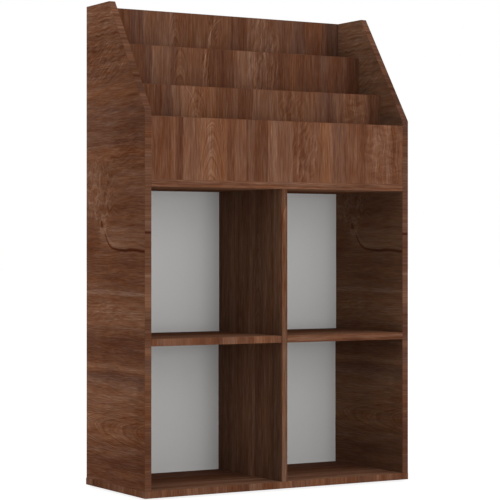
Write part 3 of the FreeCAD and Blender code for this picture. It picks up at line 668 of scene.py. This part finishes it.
def mottled(name, dark, light, size, detail=3.0):
    """Material between two colours, in spots of a size in millimetres, with its shader and its spots."""
    material, shader = new_material(name)
    spot = add_node(material, "ShaderNodeTexCoord", output="Object")
    spots = add_node(material, "ShaderNodeTexNoise", {"Vector": spot, "Scale": 1000 / size, "Detail": detail})
    tint = add_node(material, "ShaderNodeMix", {
        0: spots, 6: linear(dark), 7: linear(light),
    }, 2, data_type="RGBA")
    feed(material, shader, {"Base Color": tint})
    return material, shader, spots


def plated_metal(name, dark, light, dull, shiny, size):
    """Zinc or nickel plating: a grey metal that gives the eye a soft mirror, cloudy in spots of a size."""
    material, shader, spots = mottled(name, dark, light, size)
    gloss = add_node(material, "ShaderNodeMapRange", {"Value": spots, "To Min": dull, "To Max": shiny})
    feed(material, shader, {"Roughness": gloss, "Metallic": 1.0})
    return material


plated_steel = plated_metal("zinc_plated_steel", "#A9ABAC", "#C9CACB", 0.45, 0.25, 4)
quarter = np.linspace(0, np.pi / 2, 6)
head_radius, head_rise, shank_radius, nail_length, point = 0.0025, 0.0011, 0.0008, 0.016, 0.0015
nail = [(0.0001, -nail_length), (shank_radius, point - nail_length), (shank_radius, 0.0)]
nail += [(head_radius * np.sin(a), head_rise * np.cos(a)) for a in quarter[:0:-1]]
nail += [(0.0003, head_rise)]
upper_high, lower_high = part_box("upper_back_sheet")[1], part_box("lower_back_sheet")[1]
shelf_low, shelf_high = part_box("left_shelf")
divider_low, divider_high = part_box("centre_divider")
shelf_level = (shelf_low[2] + shelf_high[2]) / 2
from_edge = 0.0035
column = upper_high[0] - from_edge
columns = (-column, (divider_low[0] + divider_high[0]) / 2, column)
across_shelf = (-0.25, -0.09, 0.095, 0.255)
upper_levels, lower_levels = (0.45, 0.6), (0.1, 0.25)
nail_seats = [(x, upper_high[1], z) for x in columns for z in upper_levels]
nail_seats += [(x, lower_high[1], z) for x in columns for z in lower_levels]
nail_seats += [(x, lower_high[1], shelf_level) for x in across_shelf]
nail_seats += [(x, upper_high[1], upper_high[2] - from_edge) for x in across_shelf]
put_mesh("back_sheet_nails", [turned(nail, nail_seats, (0, 1, 0))], plated_steel, "plated_screw")


# Cam locks: drums of die-cast zinc in round pockets on the hidden faces, turned with a cross-head driver
# to pull the bolt's head. The face has a cross recess and a chamfered rim.
die_cast_zinc = plated_metal("nickel_plated_zinc", "#8F8D88", "#B4B2AC", 0.5, 0.34, 1.5)
# The cross is as far from the middle as a line at each angle stays inside one of its arms
t = turn_angles(48)
arm = 0.0044
arm_half = arm * np.tan(np.pi / 12)
long_way = np.maximum(abs(np.cos(t)), abs(np.sin(t)))
short_way = np.minimum(abs(np.cos(t)), abs(np.sin(t)))
cross = np.minimum(arm / long_way, arm_half / np.maximum(short_way, 0.01))
drum_radius, drum_depth, chamfer, recess = 0.0074, 0.012, 0.0005, 0.0024
drum = [
    (0.0004, recess), (0.6 * cross, recess), (cross, 0.0016), (cross, 0.0), (drum_radius - chamfer, 0.0),
    (drum_radius, chamfer), (drum_radius, drum_depth - chamfer), (drum_radius - chamfer, drum_depth),
    (0.0004, drum_depth),
]
cam_distance, cam_setback, back_setback = 0.034, 0.045, 0.06
under, behind, bolt_rows = [], [], []
for board in ("cubby_roof", "left_shelf", "right_shelf"):
    low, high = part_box(board)
    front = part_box(board + "_edging")[0][1]
    for y in (front + cam_setback, high[1] - cam_setback):
        under += [(x, y, low[2]) for x in (low[0] + cam_distance, high[0] - cam_distance)]
        if board != "right_shelf":
            bolt_rows.append((y, (low[2] + high[2]) / 2))
for panel in PANEL_STRIPS:
    low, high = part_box(panel)
    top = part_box(panel + "_edging")[1][2]
    middle = (low[2] + top) / 2
    for z in (low[2] + back_setback, top - back_setback) if panel == "upper_back_panel" else (middle,):
        behind += [(x, high[1], z) for x in (low[0] + cam_distance, high[0] - cam_distance)]
        bolt_rows.append(((low[1] + high[1]) / 2, z))
put_mesh("cam_lock_drums", [turned(drum, under, (0, 0, 1)), turned(drum, behind, (0, -1, 0))],
         die_cast_zinc, "zinc_cam", "cam_locks")


# Cover caps: thin discs of brown plastic with a rounded rim, pressed over the cams that face down into the
# cubbies. The moulded skin is matt, with a fine uneven tint, so that the caps hardly show beside the decor.
material, shader = mottled("moulded_brown_polypropylene", "#5A3826", "#6E4833", 1.2, 2.0)[:2]
feed(material, shader, {"Roughness": 0.7, "Specular IOR Level": 0.1})
cap_radius, cap_rise, cap_rim = 0.0088, 0.001, 0.0008
cap = [(0.0003, -cap_rise)]
cap += [(cap_radius - cap_rim + cap_rim * np.sin(a), -cap_rise + cap_rim * (1 - np.cos(a))) for a in quarter]
cap += [(cap_radius, 0.0), (0.0003, 0.0)]
put_mesh("cam_cover_caps", [turned(cap, under, (0, 0, 1))], material, "walnut_edging")


# Cam bolts: zinc-plated steel, turned. The thread is screwed into the side up to a flange, and the cam
# draws in the round head. The half shelves share two bolts with a head at both ends, through the divider.
def thread(angles, bottom, top, pitch, core, ridge):
    """Rings of a thread: the radius is the core plus a ridge that climbs one pitch in each turn."""
    climb = np.arange(bottom, top, pitch / 5)
    return [(core + ridge * (1 - abs(2 * ((z / pitch - angles / (2 * np.pi)) % 1) - 1)), z) for z in climb]


def both_sides(profile, rows, depth):
    """The same pin in both sides: it starts as deep as given in the side and points to the middle."""
    left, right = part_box("cubby_roof")[0][0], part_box("cubby_roof")[1][0]
    return [
        turned(profile, [(left - depth, y, z) for y, z in rows], (1, 0, 0)),
        turned(profile, [(right + depth, y, z) for y, z in rows], (-1, 0, 0)),
    ]


def bolt_end(tip, way):
    """Shank, neck and round head of a bolt, up to its tip, in one or the other direction."""
    outline = [(0.0025, 0.0065), (0.0017, 0.006), (0.0017, 0.0035), (0.0028, 0.003), (0.0032, 0.002),
               (0.0029, 0.0006), (0.0022, 0.0), (0.0003, 0.0)]
    return [(radius, tip - way * back) for radius, back in outline]


thread_length, bolt_reach = 0.011, 0.0355
bolt = [(0.0003, 0.0), (0.0016, 0.0)]
bolt += thread(turn_angles(24), bottom=0.0008, top=0.0105, pitch=0.0018, core=0.0018, ridge=0.0006)
bolt += [(0.0024, 0.0108), (0.0031, thread_length), (0.0032, 0.0125), (0.0025, 0.0132)]
bolt += bolt_end(thread_length + bolt_reach, 1)
put_mesh("cam_bolt_set", both_sides(bolt, bolt_rows, thread_length), plated_steel, "plated_bolt", "cam_bolts")
double_length = divider_high[0] - divider_low[0] + 2 * bolt_reach
double_bolt = bolt_end(0.0, -1)[::-1] + bolt_end(double_length, 1)
double_seats = [(divider_low[0] - bolt_reach, y, z) for y, z in bolt_rows if np.isclose(z, shelf_level)]
put_mesh("double_cam_bolt_set", [turned(double_bolt, double_seats, (1, 0, 0))],
         plated_steel, "plated_bolt", "double_cam_bolts")


# Wooden dowels: beech rod with shallow flutes for the glue and chamfered ends, driven into the face of one
# board and the end of the other. The grain is fine and pale.
material, shader, flecks = mottled("fluted_beech", "#B98F5E", "#DDBB8C", 2.5)
gloss = add_node(material, "ShaderNodeMapRange", {"Value": flecks, "To Min": 0.75, "To Max": 0.6})
feed(material, shader, {"Roughness": gloss})
dowel_radius, dowel_length, chamfer = 0.004, 0.03, 0.001
in_face, beside_cam, from_panel_end, from_floor_edge, from_divider_edge = 0.011, 0.032, 0.134, 0.02, 0.07
flute_count, flute_depth = 12, 0.00025
fluted = dowel_radius - flute_depth * (1 - np.cos(flute_count * turn_angles(6 * flute_count)))
dowel = [
    (0.0003, 0.0), (dowel_radius - chamfer, 0.0), (fluted, chamfer), (fluted, dowel_length - chamfer),
    (dowel_radius - chamfer, dowel_length), (0.0003, dowel_length),
]
low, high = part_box("cubby_roof")
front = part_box("cubby_roof_edging")[0][1]
middle = (low[2] + high[2]) / 2
dowel_rows = [(front + cam_setback + beside_cam, middle), (high[1] - cam_setback - beside_cam, middle)]
dowel_rows.append(((front + shelf_high[1]) / 2, shelf_level))
upright = []
for panel in PANEL_STRIPS:
    low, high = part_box(panel)
    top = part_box(panel + "_edging")[1][2]
    y = (low[1] + high[1]) / 2
    if panel == "upper_back_panel":
        levels = (low[2] + back_setback + beside_cam, top - back_setback - beside_cam)
    else:
        levels = ((low[2] + top) / 2 - beside_cam, (low[2] + top) / 2 + beside_cam)
        upright += [(x, y, low[2] - in_face) for x in (low[0] + from_panel_end, high[0] - from_panel_end)]
    dowel_rows += [(y, z) for z in levels]
for floor in ("middle_pocket_floor", "rear_pocket_floor"):
    low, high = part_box(floor)
    middle = (low[2] + high[2]) / 2
    dowel_rows += [(y, middle) for y in (low[1] + from_floor_edge, high[1] - from_floor_edge)]
for side in ("left_side_panel", "right_side_panel"):
    low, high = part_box(side)
    upright.append(((low[0] + high[0]) / 2, (front + high[1]) / 2, low[2] - in_face))
head_rows = (front + from_divider_edge, shelf_high[1] - from_divider_edge)
hanging = [((divider_low[0] + divider_high[0]) / 2, y, divider_high[2] + in_face) for y in head_rows]
put_mesh("fluted_dowel_set", both_sides(dowel, dowel_rows, in_face) + [
    turned(dowel, upright, (0, 0, 1)), turned(dowel, hanging, (0, 0, -1)),
], material, "beech_dowel", "wooden_dowels")


# Base screws: driven from below through the bottom panel into the sides and the divider, with a flat
# head sunk flush and a hexagon socket. The thread is a ridge that climbs one pitch in each turn.
# The socket's radius is half its width over the cosine of the angle from the nearest flat.
t = turn_angles(48)
socket_half = 0.0022
socket = socket_half / np.cos((t + np.pi / 6) % (np.pi / 3) - np.pi / 6)
head_radius, head_height, chamfer, recess = 0.0049, 0.004, 0.0004, 0.0026
shank_radius, shank_end = 0.00345, 0.016
screw = [
    (0.0003, recess), (0.7 * socket, recess), (socket, 0.0022), (socket, 0.0), (head_radius - chamfer, 0.0),
    (head_radius, chamfer), (head_radius, head_height - chamfer), (head_radius - chamfer, head_height),
    (shank_radius, head_height), (shank_radius, shank_end),
]
screw += thread(t, bottom=shank_end, top=0.048, pitch=0.0025, core=0.002, ridge=0.0005)
screw += [(0.002, 0.0485), (0.0004, 0.05)]
panel_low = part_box("bottom_panel")[0]
screw_setback = 0.075
side_front, side_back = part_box("left_side_edging")[0][1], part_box("left_side_panel")[1][1]
screw_rows = (side_front + screw_setback, side_back - screw_setback)
screw_seats = []
for board in ("left_side_panel", "centre_divider", "right_side_panel"):
    low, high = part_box(board)
    screw_seats += [((low[0] + high[0]) / 2, y, panel_low[2]) for y in screw_rows]
put_mesh("base_screw_set", [turned(screw, screw_seats, (0, 0, 1))],
         plated_steel, "plated_screw", "base_screws")


# Floor glides: moulded feet of dark plastic with a rounded rim, each on a nail that is driven into the bottom
# panel from below. The skin is finely grained, with a soft sheen.
material, shader, skin = mottled("moulded_polypropylene", "#241C18", "#332822", 0.8, 2.0)
gloss = add_node(material, "ShaderNodeMapRange", {"Value": skin, "To Min": 0.6, "To Max": 0.45})
relief = add_node(material, "ShaderNodeBump", {"Strength": 0.2, "Distance": 0.0001, "Height": skin})
feed(material, shader, {"Roughness": gloss, "Normal": relief})
foot_low, foot_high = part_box("floor_glides")
foot_radius, rim, foot_top, chamfer, shank_radius = 0.009, 0.0012, panel_low[2], 0.0006, 0.0012
foot = [(0.0005, 0.0003), (0.004, 0.0003), (0.005, 0.0)]
foot += [(foot_radius - rim + rim * np.sin(a), rim - rim * np.cos(a)) for a in quarter]
foot += [(foot_radius, foot_top - chamfer), (foot_radius - chamfer, foot_top), (shank_radius, foot_top)]
foot += [(shank_radius, foot_high[2] - point), (0.0002, foot_high[2])]
foot_seats = [(x, y, 0.0) for x in (foot_low[0] + foot_radius, 0.0, foot_high[0] - foot_radius)
              for y in (foot_low[1] + foot_radius, foot_high[1] - foot_radius)]
put_mesh("floor_glide_feet", [turned(foot, foot_seats, (0, 0, 1))], material, "dark_glide", "floor_glides")


# Floor and background: a plain pale floor that keeps the rack's soft shadow, and the same white all round.
# Both look white to the eye and in metal, and give the rack the plain light of a bright room.
def stage_white(owner, lit, shown, output):
    """Gives the eye and mirrors what is shown, and the rest of the scene what is lit."""
    path = add_node(owner, "ShaderNodeLightPath").node.outputs
    seen = path["Is Camera Ray"]
    for ray in ("Is Glossy Ray", "Is Transmission Ray"):
        seen = add_node(owner, "ShaderNodeMath", [seen, path[ray]], operation="MAXIMUM")
    surface = add_node(owner, "ShaderNodeMixShader", [seen, lit, shown])
    owner.node_tree.links.new(surface, owner.node_tree.nodes[output].inputs["Surface"])


floor_reach = 40.0
reach = np.array([-1.0, 1.0]) * floor_reach
grid = np.stack(np.meshgrid(reach, reach), -1).reshape(-1, 2)
mesh = bpy.data.meshes.new("studio_floor")
mesh.from_pydata(np.column_stack([grid, np.zeros(4)]).tolist(), [], [(0, 1, 3, 2)])
floor = bpy.data.objects.new("studio_floor", mesh)
bpy.context.scene.collection.objects.link(floor)
material, shader = new_material("pale_studio_floor")
feed(material, shader, {"Base Color": linear("#F0F0F0"), "Roughness": 0.9})
glow = add_node(material, "ShaderNodeEmission", {"Color": (1, 1, 1, 1), "Strength": 0.85})
shadow = add_node(material, "ShaderNodeBsdfDiffuse", {"Color": linear("#989898")})
white = add_node(material, "ShaderNodeAddShader", [glow, shadow])
stage_white(material, shader.outputs[0], white, "Material Output")
mesh.materials.append(material)

world = bpy.data.worlds.new("studio_white")
world.use_nodes = True
bpy.context.scene.world = world
light = world.node_tree.nodes["Background"]
feed(world, light, {"Color": (1, 1, 1, 1), "Strength": 0.82})
white = add_node(world, "ShaderNodeBackground", {"Color": (1, 1, 1, 1), "Strength": 1.0})
stage_white(world, light.outputs[0], white, "World Output")


# Soft lamps in front of the rack: a large one level with its top, and a smaller one at half its height, which
# shines into the cubbies. They are plain square soft boxes, and the camera doesn't see them.
for name, spot, aim, size, power in (
    ("front_softbox", (0.3, -4.5, 1.2), (0, 0, 0.6), 2.5, 15.5),
    ("low_softbox", (0.3, -4.5, 0.5), (0, 0, 0.6), 1.0, 24.0),
):
    lamp = bpy.data.lights.new(name, "AREA")
    lamp.size = size
    lamp.energy = power
    holder = bpy.data.objects.new(name, lamp)
    bpy.context.scene.collection.objects.link(holder)
    holder.visible_camera = False
    holder.location = spot
    towards = np.array(aim) - np.array(spot)
    yaw = np.arctan2(towards[0], towards[1])
    pitch = np.arctan2(towards[2], np.hypot(towards[0], towards[1]))
    holder.rotation_euler = (np.pi / 2 + pitch, 0, -yaw)


# Camera: level, at half the rack's height, from the left of the front. Its place and lens are those that the
# lines of the photograph give.
camera = bpy.data.objects.new("camera", bpy.data.cameras.new("camera"))
bpy.context.scene.collection.objects.link(camera)
camera.location = (-2.24265, -3.81863, 0.55092)
camera.rotation_euler = (np.pi / 2, 0, -np.radians(30.46))
camera.data.lens = 135.13
camera.data.sensor_width = 36
bpy.context.scene.camera = camera
bpy.context.scene.view_settings.view_transform = "Standard"
